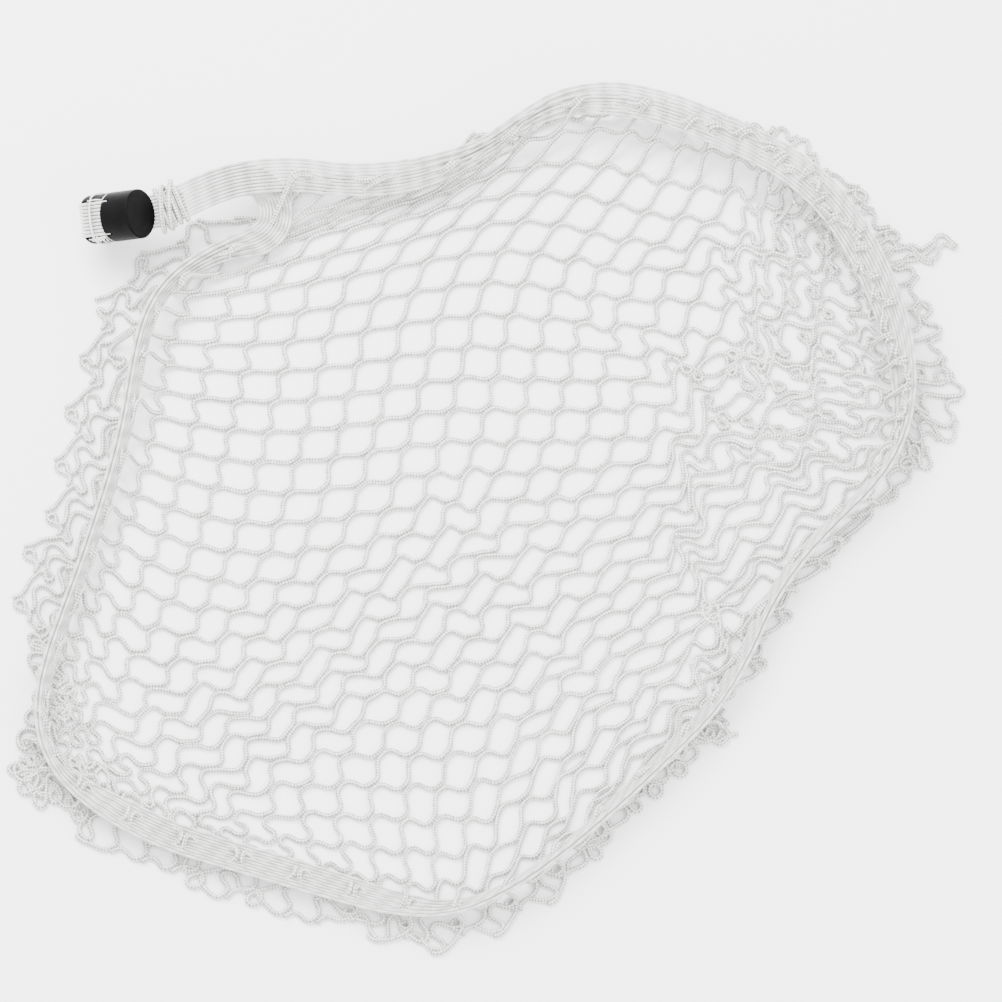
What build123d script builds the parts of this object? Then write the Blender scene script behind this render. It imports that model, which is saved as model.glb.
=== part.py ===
from build123d import *
import math
import os

# A knotless sports net lying open on the floor. Ten elastic strands run side by side
# through the meshes of its rim, meet in a short neck, and are folded over the nose of a
# black barrel stop, where thread holds them. Millimetres, +Z up, floor at Z = 0.

# ---- Strands of the rim ------------------------------------------------------------
strand_count = 10
strand_d = 3.0
strand_gap = 0.5  # free space between neighbours in the flat ribbon
fold_radius = 5.0  # centreline radius where a strand folds over the nose

# ---- Barrel stop -------------------------------------------------------------------
barrel_d = 50.0
body_length = 34.0
nose_length = 28.0
nose_d = 49.0
seam_gap = 0.3
spigot_d = 30.0
spigot_length = 12.0
flat_height = 15.4  # from the barrel's axis to the flat that the folded strands lie on
mouth_depth = 6.0  # how far the folded strands run into the body
edge_radius = 2.0
groove_width = 1.6
groove_depth = 1.5
seam_thread_d = 1.2
barrel_centre = Vector(-392, 291, 48)
barrel_heading = -10.5
barrel_rise = 34.0
barrel_roll = 30.0

# ---- Fit ---------------------------------------------------------------------------
fit_clearance = 0.3
strand_to_barrel = 0.4
layer_gap = 1.0

# ---- Threads -----------------------------------------------------------------------
binding_d = 1.4
binding_turns = 3
binding_pitch = 2.2
lashing_d = 4.0
lashing_places = (0.25, 0.5, 0.75)  # shares of the first run of the neck
lashing_slack = 2.5  # free space all round the two layers

# ---- Net ---------------------------------------------------------------------------
twine_d = 5.0
net_stations = 10  # stations each way over the net sheet
rim_rise_power = 5.0  # how quickly the sheet falls from its rim to the floor
edge_top = [
    (-330, 295, 8), (-220, 355, 7), (-105, 370, 9), (20, 435, 15),
    (145, 475, 25), (285, 450, 32), (385, 335, 30),
]
edge_right = [
    (385, 335, 30), (466, 230, 24), (469, 110, 12), (380, -20, 1),
    (280, -140, 0), (165, -315, 0), (-25, -483, 0),
]
edge_bottom = [
    (-475, -275, 0), (-440, -345, 0), (-375, -380, 0), (-290, -415, 0),
    (-205, -440, 0), (-110, -474, 0), (-25, -483, 0),
]
edge_left = [
    (-330, 295, 8), (-405, 235, 3), (-430, 140, 0), (-450, 35, 0),
    (-468, -70, 0), (-474, -170, 0), (-475, -275, 0),
]

# ---- Route of the strand ribbon, neck to neck --------------------------------------
# Each station is x, y, z of the ribbon's middle and its tilt in degrees: 0 lies flat,
# 90 stands on edge, positive lifts the outer side. It runs clockwise seen from above.
neck = [
    (-326, 305, 53, 24), (-305, 319, 48, 20), (-284, 331, 43, 17), (-260, 340, 38, 18),
]
rim = [
    (-212, 345, 35, 28), (-162, 338, 33, 30), (-107, 342, 31, 20), (-62, 355, 32, 35),
    (-22, 374, 35, 58), (15, 402, 39, 62), (55, 422, 42, 35), (103, 426, 45, 20),
    (153, 415, 47, 12), (199, 395, 49, 12), (243, 373, 50, 14), (288, 346, 50, 16),
    (328, 305, 50, 18), (359, 253, 48, 20), (381, 200, 44, 22), (395, 148, 38, 28),
    (399, 93, 31, 40), (389, 44, 26, 52), (363, 3, 23, 55), (326, -34, 21, 52),
    (290, -75, 20, 50), (260, -124, 20, 52), (239, -177, 20, 50), (207, -236, 20, 46),
    (161, -287, 20, 46), (111, -340, 20, 50), (59, -391, 21, 56), (5, -434, 21, 58),
    (-53, -458, 18, 40), (-111, -450, 15, 22), (-167, -431, 14, 12), (-225, -412, 14, 10),
    (-282, -394, 14, 12), (-337, -375, 14, 8), (-392, -346, 15, 12), (-437, -315, 18, 36),
    (-462, -276, 21, 62), (-465, -230, 22, 66), (-455, -181, 22, 68), (-439, -131, 22, 70),
    (-422, -79, 22, 70), (-406, -25, 22, 70), (-391, 28, 23, 68), (-379, 83, 25, 64),
    (-371, 136, 27, 60), (-361, 186, 29, 64), (-341, 225, 29, 70), (-309, 252, 27, 62),
    (-277, 269, 23, 46), (-250, 277, 19, 25), (-233, 293, 18, 8), (-231, 316, 20, 0),
    (-242, 335, 25, -8),
]

# ---- Derived -----------------------------------------------------------------------
strand_r = strand_d / 2
strand_pitch = strand_d + strand_gap
barrel_axis = Vector(1, 0, 0).rotate(Axis.Y, -barrel_rise).rotate(Axis.Z, barrel_heading)
barrel_up = Vector(0, 0, 1).rotate(Axis.Y, -barrel_rise).rotate(Axis.Z, barrel_heading)
barrel_front = barrel_up.rotate(Axis((0, 0, 0), barrel_axis), barrel_roll)
barrel_across = barrel_front.cross(barrel_axis)
seam_at = nose_length - (body_length + nose_length) / 2
body_end = seam_at + body_length
nose_end = seam_at - nose_length
barrel_plane = Plane(origin=barrel_centre, x_dir=barrel_across, z_dir=barrel_axis)
front_height = flat_height + strand_to_barrel + strand_r
back_height = barrel_d / 2 + strand_to_barrel + strand_r
second_height = back_height + strand_d + layer_gap
fold_at = nose_end - strand_to_barrel - strand_r
ribbon_width = (strand_count - 1) * strand_pitch + strand_d
nose_rounding = fold_radius - strand_r - strand_to_barrel
groove_at = seam_at - seam_gap - groove_width
channel_width = ribbon_width + 2 * strand_to_barrel

os.makedirs("parts", exist_ok=True)


def on_barrel(along, height, across=0.0):
    """A point by its distance along the barrel's axis, out to the front, and across."""
    return barrel_centre + barrel_axis * along + barrel_front * height + barrel_across * across


def ribbon_side(before, after, tilt):
    """The ribbon's outward direction at a station, from its neighbours and its tilt."""
    heading = Vector(after.X - before.X, after.Y - before.Y, 0).normalized()
    outward = Vector(-heading.Y, heading.X, 0)
    return outward * math.cos(math.radians(tilt)) + Vector(0, 0, 1) * math.sin(math.radians(tilt))


def bend_radii(points, tight):
    """One radius for each corner: 0.45 of the shorter run over the tangent of half the turn."""
    radii = []
    for number in range(1, len(points) - 1):
        into = points[number] - points[number - 1]
        out = points[number + 1] - points[number]
        half_turn = math.radians(into.get_angle(out) / 2)
        radius = 0.45 * min(into.length, out.length) / math.tan(half_turn)
        radii.append(fold_radius if number in tight else radius)
    return radii


# Stations of the ribbon's middle: over the nose, along the back of the barrel, the neck,
# round the rim, and back along the neck as a second layer under the first.
over_nose = [
    on_barrel(seam_at + mouth_depth, front_height),
    on_barrel(fold_at, front_height),
    on_barrel(fold_at, -back_height),
    on_barrel(body_end, -back_height),
]
neck_middle = [Vector(x, y, z) for x, y, z, tilt in neck]
neck_tilt = [tilt for x, y, z, tilt in neck]
rim_middle = [Vector(x, y, z) for x, y, z, tilt in rim]
rim_tilt = [tilt for x, y, z, tilt in rim]

upper = [over_nose[-1]] + neck_middle + [rim_middle[0]]
neck_side = []
neck_under = []
for number in range(1, len(upper) - 1):
    side = ribbon_side(upper[number - 1], upper[number + 1], neck_tilt[number - 1])
    heading = (upper[number + 1] - upper[number - 1]).normalized()
    down = side.cross(heading).normalized()
    if down.Z > 0:
        down = -down
    neck_side.append(side)
    neck_under.append(upper[number] + down * (strand_d + layer_gap))

middles = over_nose + neck_middle + rim_middle + neck_under[::-1]
middles += [on_barrel(body_end, -second_height), on_barrel(seam_at, -second_height)]

sides = [barrel_across] * len(over_nose) + neck_side
around = [neck_middle[-1]] + rim_middle + [neck_under[-1]]
for number in range(len(rim_middle)):
    sides.append(ribbon_side(around[number], around[number + 2], rim_tilt[number]))
sides += [-side for side in neck_side[::-1]] + [-barrel_across] * 2

# ---- Rim strands: ten round elastic cords, each folded over the nose ----------------
for number in range(strand_count):
    offset = (number - (strand_count - 1) / 2) * strand_pitch
    route = [middle + side * offset for middle, side in zip(middles, sides)]
    radii = bend_radii(route, tight=(1, 2))
    runs = [(after - before).length for before, after in zip(route, route[1:])]
    with BuildPart() as strand:
        with BuildLine() as path:
            FilletPolyline(*route, radius=radii)
        with BuildSketch(Plane(origin=path.line @ 0, z_dir=path.line % 0)):
            Circle(strand_r)
        sweep()
    strand.part.label = f"rim_strand_{number + 1:02d}"
    export_step(strand.part, f"parts/rim_strand_{number + 1:02d}.step")
    swept_length = sum(edge.length for edge in path.edges())
    swept = math.pi * strand_r**2 * swept_length
    print(strand.part.label, "length", round(swept_length), "runs", round(min(runs)), round(max(runs)),
          "least radius", round(min(radii[2:]), 1), "volume ratio", round(strand.part.volume / swept, 4))
    print("  radii", *[round(radius) for radius in radii])

# ---- Barrel body: moulded cylinder with a mouth for the folded strands --------------
with BuildPart() as barrel_body:
    with BuildSketch(barrel_plane.offset(seam_at)):
        Circle(barrel_d / 2)
    extrude(amount=body_length)
    fillet(barrel_body.edges().filter_by(GeomType.CIRCLE), radius=edge_radius)
    with BuildSketch(barrel_plane.offset(seam_at)):
        Circle(spigot_d / 2 + fit_clearance)
    extrude(amount=spigot_length + fit_clearance, mode=Mode.SUBTRACT)
    with BuildSketch(barrel_plane.offset(seam_at)):
        with Locations((0, front_height)):
            Rectangle(channel_width, strand_d + 2 * strand_to_barrel)
    extrude(amount=mouth_depth + strand_d, mode=Mode.SUBTRACT)
barrel_body.part.label = "barrel_body"
export_step(barrel_body.part, "parts/barrel_body.step")

# ---- Barrel nose: rounded end with a flat, pressed into the body by its spigot -------
with BuildPart() as barrel_nose:
    with BuildSketch(barrel_plane.offset(nose_end)):
        Circle(nose_d / 2)
    extrude(amount=nose_length - seam_gap)
    end_rim = barrel_nose.faces().sort_by(Axis((0, 0, 0), barrel_axis))[0].edges()
    fillet(end_rim, radius=nose_rounding)
    with BuildSketch(Plane(origin=barrel_centre, x_dir=barrel_axis, z_dir=-barrel_across)) as side_view:
        with Locations((nose_end, flat_height)):
            Rectangle(2 * nose_length, nose_d + flat_height, align=(Align.MIN, Align.MAX))
        fillet(side_view.vertices().group_by(Axis((0, 0, 0), barrel_axis))[0], radius=nose_rounding)
    extrude(amount=nose_d, both=True, mode=Mode.INTERSECT)
    with BuildSketch(barrel_plane.offset(groove_at)):
        Circle(nose_d)
        Circle(nose_d / 2 - groove_depth, mode=Mode.SUBTRACT)
    extrude(amount=groove_width, mode=Mode.SUBTRACT)
    with BuildSketch(barrel_plane.offset(seam_at - seam_gap)):
        Circle(spigot_d / 2)
    extrude(amount=spigot_length)
barrel_nose.part.label = "barrel_nose"
export_step(barrel_nose.part, "parts/barrel_nose.step")

# ---- Seam thread: one turn lying in the groove, open where the strands cross it --------
with BuildPart() as seam_thread:
    with BuildSketch(barrel_plane.offset(groove_at + (groove_width - seam_thread_d) / 2)):
        Circle(nose_d / 2 - groove_depth + seam_thread_d)
        Circle(nose_d / 2 - groove_depth, mode=Mode.SUBTRACT)
        with Locations((0, flat_height - strand_to_barrel + nose_d / 2)):
            Rectangle(nose_d, nose_d, mode=Mode.SUBTRACT)
    extrude(amount=seam_thread_d)
seam_thread.part.label = "seam_thread"
export_step(seam_thread.part, "parts/seam_thread.step")

# ---- Nose binding: turns of thread round the nose and the strands folded over it -----
binding_clear = strand_d + 2 * strand_to_barrel + binding_d / 2
with BuildPart() as nose_binding:
    for turn in range(binding_turns):
        with BuildSketch(barrel_plane.offset(nose_end + nose_length / 2 + turn * binding_pitch)):
            with Locations((0, (front_height - back_height) / 2)):
                RectangleRounded(nose_d + 2 * binding_clear,
                                 front_height + back_height + 2 * (strand_d + binding_clear), nose_d * 0.4)
                RectangleRounded(nose_d + 2 * binding_clear - 2 * binding_d,
                                 front_height + back_height + 2 * (strand_d + binding_clear) - 2 * binding_d,
                                 nose_d * 0.4 - binding_d, mode=Mode.SUBTRACT)
        extrude(amount=binding_d)
nose_binding.part.label = "nose_binding"
export_step(nose_binding.part, "parts/nose_binding.step")

# ---- Neck lashing: turns of net twine round both layers of the neck ------------------
with BuildPart() as neck_lashing:
    for place in lashing_places:
        start = neck_middle[0] + (neck_middle[1] - neck_middle[0]) * place
        middle = start + (neck_under[0] - neck_middle[0]) * 0.5
        heading = (neck_middle[1] - neck_middle[0]).normalized()
        with BuildSketch(Plane(origin=middle, x_dir=neck_side[0], z_dir=heading)):
            inner_width = ribbon_width + 2 * lashing_slack
            inner_height = 2 * strand_d + layer_gap + 2 * lashing_slack
            RectangleRounded(inner_width + 2 * lashing_d, inner_height + 2 * lashing_d, lashing_d)
            RectangleRounded(inner_width, inner_height, inner_height * 0.35, mode=Mode.SUBTRACT)
        extrude(amount=lashing_d / 2, both=True)
neck_lashing.part.label = "neck_lashing"
export_step(neck_lashing.part, "parts/neck_lashing.step")


# ---- Net: one thin sheet, low in the middle and rising outside its rim ----------------
def along_edge(edge, share):
    """The point at a share of an edge's stations, straight between two of them."""
    place = share * (len(edge) - 1)
    number = min(int(place), len(edge) - 2)
    here, after = Vector(*edge[number]), Vector(*edge[number + 1])
    return here + (after - here) * (place - number)


def net_point(u, v):
    """Coons patch of the four edges, with the height falling inwards by a power."""
    top, bottom = along_edge(edge_top, u), along_edge(edge_bottom, u)
    left, right = along_edge(edge_left, v), along_edge(edge_right, v)
    corners = (Vector(*edge_top[0]) * (1 - u) * (1 - v) + Vector(*edge_top[-1]) * u * (1 - v)
               + Vector(*edge_bottom[0]) * (1 - u) * v + Vector(*edge_bottom[-1]) * u * v)
    flat = top * (1 - v) + bottom * v + left * (1 - u) + right * u - corners
    rise = top.Z * (1 - v)**rim_rise_power + left.Z * (1 - u)**rim_rise_power + right.Z * u**rim_rise_power
    rise -= (edge_top[0][2] * ((1 - u) * (1 - v))**rim_rise_power
             + edge_top[-1][2] * (u * (1 - v))**rim_rise_power)
    return Vector(flat.X, flat.Y, rise)


steps = [number / (net_stations - 1) for number in range(net_stations)]
lower = Face.make_surface_from_array_of_points([[net_point(u, v) for u in steps] for v in steps])
with BuildPart() as net:
    add(lower)
    thicken(amount=twine_d, normal_override=(0, 0, 1))
net.part.label = "net"
export_step(net.part, "parts/net.step")
print("net volume", round(net.part.volume), "sheet area", round(lower.area))
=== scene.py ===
# %% [markdown]
# A knotless sports net, gathered on ten elastic strands that end in a black barrel stop.
# The net is braided twine in square meshes. It lies slack on a pale floor, so most of its
# look comes from how each short bar of twine bends. The frame gives the barrel as CAD, and
# this script adds the twine, the strands and the threads round it.

import math

import bpy
import numpy as np
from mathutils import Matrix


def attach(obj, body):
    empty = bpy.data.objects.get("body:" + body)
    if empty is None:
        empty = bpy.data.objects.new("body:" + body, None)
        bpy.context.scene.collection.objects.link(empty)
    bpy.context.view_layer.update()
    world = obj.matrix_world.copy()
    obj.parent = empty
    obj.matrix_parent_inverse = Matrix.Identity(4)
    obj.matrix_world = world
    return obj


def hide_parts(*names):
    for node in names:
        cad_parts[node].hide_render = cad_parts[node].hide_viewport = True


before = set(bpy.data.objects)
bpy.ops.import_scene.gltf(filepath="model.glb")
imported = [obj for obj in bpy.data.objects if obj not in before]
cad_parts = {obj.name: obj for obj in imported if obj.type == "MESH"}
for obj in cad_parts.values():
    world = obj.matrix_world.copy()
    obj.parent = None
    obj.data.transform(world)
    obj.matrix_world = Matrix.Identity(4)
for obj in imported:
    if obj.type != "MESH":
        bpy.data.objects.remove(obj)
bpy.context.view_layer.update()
MM = 0.001  # shapes are worked out in millimetres, and meshes are made in metres
rng = np.random.default_rng(11)
print("nodes", sorted(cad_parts))

# %% [markdown]
# Every finish starts from a real material and its real colours. Two helpers do the routine
# work: one turns an sRGB hex value into the linear numbers that a shader wants, and one adds
# a node with its settings and links, so that a material reads as a list of what it does.


# %% Colour and node helpers
def srgb(code):
    """Linear red, green, blue and alpha: c / 12.92 in the dark, else ((c + 0.055) / 1.055) ** 2.4."""
    c = np.array([int(code[k:k + 2], 16) for k in (1, 3, 5)]) / 255
    linear = np.where(c <= 0.04045, c / 12.92, ((c + 0.055) / 1.055)**2.4)
    return (*[float(v) for v in linear], 1.0)


def node(tree, kind, inputs=(), **settings):
    """Adds a node, sets its properties, and fills its sockets with values or links."""
    made = tree.nodes.new(kind)
    for name, value in settings.items():
        setattr(made, name, value)
    for socket, value in dict(inputs).items():
        if isinstance(value, bpy.types.NodeSocket):
            tree.links.new(value, made.inputs[socket])
        else:
            made.inputs[socket].default_value = value
    return made


def finish_material(name, **sockets):
    """A new material with a Principled shader, its constant sockets set on the shader."""
    made = bpy.data.materials.new(name)
    made.use_nodes = True
    shader = made.node_tree.nodes["Principled BSDF"]
    for socket, value in sockets.items():
        shader.inputs[socket.replace("_", " ")].default_value = value
    return made, made.node_tree, shader


# %% [markdown]
# The net's twine is polyester, braided from a few flat yarns, matt and nearly white. Each
# yarn shows as a small oval bump where it comes over the others. Two sine waves that run
# round the twine in opposite directions, multiplied, give those bumps. They follow the
# piece's own UV map, where U goes once round the twine and V is the length in metres. The
# gaps between yarns carry a darker grey, a painted shade, so the braid reads on a white floor.


# %% Braided twine, elastic and thread
def wave(tree, around, along, turns, pitch):
    """sin(2 pi (length / pitch + turns * share of the way round)), as nodes."""
    lengthways = node(tree, "ShaderNodeMath", {0: along, 1: 2 * math.pi / pitch},
                      operation="MULTIPLY")
    sideways = node(tree, "ShaderNodeMath", {0: around, 1: 2 * math.pi * turns},
                    operation="MULTIPLY")
    both = node(tree, "ShaderNodeMath", {0: lengthways.outputs[0], 1: sideways.outputs[0]},
                operation="ADD")
    return node(tree, "ShaderNodeMath", {0: both.outputs[0]}, operation="SINE").outputs[0]


def braided_finish(name, light, shade, pitch, turns, relief, rough, sheen):
    """A braid: bumps at half the pitch along, lighter on top, with painted shade darker in the gaps
    between them.
    """
    made, tree, shader = finish_material(name, Roughness=rough, Sheen_Weight=sheen,
                                         Sheen_Roughness=0.5, Specular_IOR_Level=0.3)
    uv = node(tree, "ShaderNodeUVMap", uv_map="UVMap")
    place = node(tree, "ShaderNodeSeparateXYZ", {0: uv.outputs[0]})
    left = wave(tree, place.outputs[0], place.outputs[1], turns, pitch)
    right = wave(tree, place.outputs[0], place.outputs[1], -turns, pitch)
    yarns = node(tree, "ShaderNodeMath", {0: left, 1: right}, operation="MULTIPLY")
    high = node(tree, "ShaderNodeMapRange", {0: yarns.outputs[0], 1: -1.0, 2: 1.0, 3: 0.0, 4: 1.0})
    where = node(tree, "ShaderNodeTexCoord")
    fuzz = node(tree, "ShaderNodeTexNoise", {0: where.outputs["Object"], "Scale": 900.0,
                                             "Detail": 3.0})
    soiling = node(tree, "ShaderNodeTexNoise", {0: where.outputs["Object"], "Scale": 14.0,
                                                "Detail": 2.0})
    mixed = node(tree, "ShaderNodeMath", {0: high.outputs[0], 1: 0.7}, operation="MULTIPLY")
    soiling_and_gap_shade = node(tree, "ShaderNodeMath", {0: soiling.outputs[0], 1: 0.2, 2: mixed.outputs[0]},
                  operation="MULTIPLY_ADD")
    speckle = node(tree, "ShaderNodeTexNoise", {0: where.outputs["Object"], "Scale": 280.0,
                                                "Detail": 1.0})
    uneven = node(tree, "ShaderNodeMath", {0: speckle.outputs[0], 1: 0.5, 2: soiling_and_gap_shade.outputs[0]},
                  operation="MULTIPLY_ADD")
    # The ramp runs from painted shade in the braid's gaps to the yarn's own colour on top, with some
    # dirt and speckle mixed in.
    tint = node(tree, "ShaderNodeValToRGB", {0: uneven.outputs[0]})
    tint.color_ramp.elements[0].color = srgb(shade)
    tint.color_ramp.elements[0].position = 0.4
    tint.color_ramp.elements[1].color = srgb(light)
    tint.color_ramp.elements[1].position = 1.0
    tree.links.new(tint.outputs[0], shader.inputs["Base Color"])
    rise = node(tree, "ShaderNodeMath", {0: fuzz.outputs[0], 1: 0.25, 2: high.outputs[0]},
                operation="MULTIPLY_ADD")
    bump = node(tree, "ShaderNodeBump", {"Height": rise.outputs[0], "Strength": 0.9,
                                         "Distance": relief})
    tree.links.new(bump.outputs[0], shader.inputs["Normal"])
    return made


# In each finish below, the second colour is painted shade for the gaps of the braid.
twine_finish = braided_finish("braided_polyester_twine", "#EEEEEC", "#7E7E7C",
                              pitch=6 * MM, turns=2, relief=0.6 * MM, rough=0.8, sheen=0.25)
# Covered elastic: a fine smooth white cover with a faint lengthwise rib, softly shiny. Its colours are
# greyer than the white cover, a painted shade, and darker still in the rib gaps.
elastic_finish = braided_finish("covered_elastic_cord", "#DADAD8", "#A8A8A6",
                                pitch=40 * MM, turns=6, relief=0.12 * MM, rough=0.42, sheen=0.1)
thread_finish = braided_finish("twisted_sewing_thread", "#F6F6F4", "#C8C8C6",
                               pitch=2.4 * MM, turns=2, relief=0.15 * MM, rough=0.7, sheen=0.2)
print("fibre finishes", twine_finish.name, elastic_finish.name, thread_finish.name)

# %% [markdown]
# The barrel is moulded nylon, black all through. A spark-eroded mould leaves it a fine even
# grain, which blurs the highlights, and handling has rubbed a few places a little smoother.
# The surround is white on all sides, and its specular level is low so that it stays black.


# %% Moulded barrel
def moulded_finish(name, dark, worn):
    """Black moulding: fine grain as bump, and slow noise in colour and roughness."""
    made, tree, shader = finish_material(name, IOR=1.53, Specular_IOR_Level=0.04)
    where = node(tree, "ShaderNodeTexCoord").outputs["Object"]
    grain = node(tree, "ShaderNodeTexNoise", {0: where, "Scale": 1600.0, "Detail": 4.0})
    rubbed = node(tree, "ShaderNodeTexNoise", {0: where, "Scale": 45.0, "Detail": 5.0})
    scuffs = node(tree, "ShaderNodeTexVoronoi", {0: where, "Scale": 260.0},
                  feature="DISTANCE_TO_EDGE")
    tint = node(tree, "ShaderNodeValToRGB", {0: rubbed.outputs[0]})
    tint.color_ramp.elements[0].color = srgb(dark)
    tint.color_ramp.elements[0].position = 0.35
    tint.color_ramp.elements[1].color = srgb(worn)
    tint.color_ramp.elements[1].position = 0.8
    tree.links.new(tint.outputs[0], shader.inputs["Base Color"])
    rough = node(tree, "ShaderNodeMapRange", {0: rubbed.outputs[0], 1: 0.3, 2: 0.75,
                                              3: 0.46, 4: 0.34})
    tree.links.new(rough.outputs[0], shader.inputs["Roughness"])
    height = node(tree, "ShaderNodeMath", {0: scuffs.outputs[0], 1: 0.3, 2: grain.outputs[0]},
                  operation="MULTIPLY_ADD")
    bump = node(tree, "ShaderNodeBump", {"Height": height.outputs[0], "Strength": 0.35,
                                         "Distance": 0.06 * MM})
    tree.links.new(bump.outputs[0], shader.inputs["Normal"])
    return made


black_finish = moulded_finish("moulded_black_nylon", "#030304", "#0A0A0B")
for name in ("barrel_body", "barrel_nose"):
    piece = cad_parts[name]
    piece.data.materials.clear()
    piece.data.materials.append(black_finish)

# %% [markdown]
# Everything else here is some kind of cord, so one function makes them all: a round profile
# carried along a path. The profile has to stay untwisted on its way. Its frame is first
# taken from a fixed upright direction, then the twist between neighbours is added up and
# turned back, which is the same as carrying the first frame along the path.


# %% Tubes along a path
def unit(v):
    """Each vector over its own length."""
    return v / np.maximum(np.linalg.norm(v, axis=-1, keepdims=True), 1e-9)


def carried_frame(path):
    """Tangents, and two directions across them that don't twist along the path."""
    ahead = np.gradient(path, axis=0)
    tangent = unit(ahead)
    upright = np.where(np.abs(tangent[:, 2:3]) > 0.9, [[1.0, 0, 0]], [[0, 0, 1.0]])
    across = unit(np.cross(upright, tangent))
    carried = unit(across[:-1] - tangent[1:] * (across[:-1] * tangent[1:]).sum(1, keepdims=True))
    sine = (np.cross(carried, across[1:]) * tangent[1:]).sum(1)
    cosine = (carried * across[1:]).sum(1)
    back = -np.r_[0, np.cumsum(np.arctan2(sine, cosine))][:, None]
    above = np.cross(tangent, across)
    first = across * np.cos(back) + above * np.sin(back)
    return tangent, first, np.cross(tangent, first)


def tube(path, radius, sides):
    """Points at path + radius (cos a first + sin a second), quads, end caps, and UVs in metres."""
    path = np.asarray(path, float)
    tangent, first, second = carried_frame(path)
    angle = 2 * math.pi * np.arange(sides) / sides
    ring = first[:, None] * np.cos(angle)[:, None] + second[:, None] * np.sin(angle)[:, None]
    points = path[:, None] + ring * np.broadcast_to(radius, len(path))[:, None, None]
    row, col = np.meshgrid(np.arange(len(path) - 1), np.arange(sides), indexing="ij")
    after = (col + 1) % sides
    quads = np.stack([row * sides + col, row * sides + after,
                      (row + 1) * sides + after, (row + 1) * sides + col], -1)
    length = np.r_[0, np.cumsum(np.linalg.norm(np.diff(path, axis=0), axis=1))]
    u = np.stack([col, col + 1, col + 1, col], -1) / sides
    v = np.stack([length[row], length[row], length[row + 1], length[row + 1]], -1)
    caps = np.stack([np.arange(sides)[::-1], (len(path) - 1) * sides + np.arange(sides)])
    return (points.reshape(-1, 3), quads.reshape(-1, 4), caps,
            np.stack([u, v], -1).reshape(-1, 4, 2))


def cord_mesh(name, paths, radius, sides, material):
    """One smooth mesh object from many tubes, each closed at both ends."""
    tubes = [tube(path, radius, sides) for path in paths]
    starts = np.cumsum([0] + [len(t[0]) for t in tubes])
    points = np.concatenate([t[0] for t in tubes])
    quads = np.concatenate([t[1] + s for t, s in zip(tubes, starts)])
    caps = np.concatenate([t[2] + s for t, s in zip(tubes, starts)])
    uvs = np.concatenate([t[3] for t in tubes])
    mesh = bpy.data.meshes.new(name)
    mesh.vertices.add(len(points))
    mesh.vertices.foreach_set("co", points.astype(np.float32).ravel())
    corners = np.concatenate([quads.ravel(), caps.ravel()])
    mesh.loops.add(len(corners))
    mesh.loops.foreach_set("vertex_index", corners.astype(np.int32))
    mesh.polygons.add(len(quads) + len(caps))
    first = np.r_[4 * np.arange(len(quads)), quads.size + sides * np.arange(len(caps))]
    mesh.polygons.foreach_set("loop_start", first.astype(np.int32))
    mesh.update(calc_edges=True)
    mesh.polygons.foreach_set("use_smooth", np.ones(len(mesh.polygons), bool))
    layer = mesh.uv_layers.new(name="UVMap")
    layer.data.foreach_set("uv", np.r_[uvs.ravel(), np.zeros(caps.size * 2)].astype(np.float32))
    mesh.validate()
    mesh.materials.append(material)
    made = bpy.data.objects.new(name, mesh)
    bpy.context.scene.collection.objects.link(made)
    print(name, "tubes", len(tubes), "faces", len(mesh.polygons))
    return made


# %% [markdown]
# The rim is ten elastic strands side by side, a flat ribbon that twists as it goes round the
# net. Each station below is the ribbon's middle in millimetres and its tilt in degrees: 0
# lies flat and 90 stands on edge. The route starts in the barrel's mouth, folds over its
# nose, runs back along it, goes round the rim, and comes home under itself.

# %% Stations of the ribbon
STRANDS = 10
STRAND_D = 3.0
PITCH = 3.5  # from one strand's middle to the next one's
LAYER = 4.0  # from the neck's upper layer to its lower one
BARREL_AT = np.array([-392.0, 291.0, 48.0])
HEADING, RISE, ROLL = math.radians(-10.5), math.radians(34), math.radians(30)
FRONT, BACK, SECOND = 17.3, 26.9, 30.9  # heights of the three layers of strands on the barrel
FOLD_AT, MOUTH_AT, FACE_AT, HOME_AT = -32.9, 3.0, 31.0, -3.0  # places along the barrel's axis
neck = np.array([(-326, 305, 53, 24), (-305, 319, 48, 20), (-284, 331, 43, 17),
                 (-260, 340, 38, 18)], float)
rim = np.array([
    (-212, 345, 35, 28), (-162, 338, 33, 30), (-107, 342, 31, 20), (-62, 355, 32, 35),
    (-22, 374, 35, 58), (15, 402, 39, 62), (55, 422, 42, 35), (103, 426, 45, 20),
    (153, 415, 47, 12), (199, 395, 49, 12), (243, 373, 50, 14), (288, 346, 50, 16),
    (328, 305, 50, 18), (359, 253, 48, 20), (381, 200, 44, 22), (395, 148, 38, 28),
    (399, 93, 31, 40), (389, 44, 26, 52), (363, 3, 23, 55), (326, -34, 21, 52),
    (290, -75, 20, 50), (260, -124, 20, 52), (239, -177, 20, 50), (207, -236, 20, 46),
    (161, -287, 20, 46), (111, -340, 20, 50), (59, -391, 21, 56), (5, -434, 21, 58),
    (-53, -458, 18, 40), (-111, -450, 15, 22), (-167, -431, 14, 12), (-225, -412, 14, 10),
    (-282, -394, 14, 12), (-337, -375, 14, 8), (-392, -346, 15, 12), (-437, -315, 18, 36),
    (-462, -276, 21, 62), (-465, -230, 22, 66), (-455, -181, 22, 68), (-439, -131, 22, 70),
    (-422, -79, 22, 70), (-406, -25, 22, 70), (-391, 28, 23, 68), (-379, 83, 25, 64),
    (-371, 136, 27, 60), (-361, 186, 29, 64), (-341, 225, 29, 70), (-309, 252, 27, 62),
    (-277, 269, 23, 46), (-250, 277, 19, 25), (-233, 293, 18, 8), (-231, 316, 20, 0),
    (-242, 335, 25, -8)], float)
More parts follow.
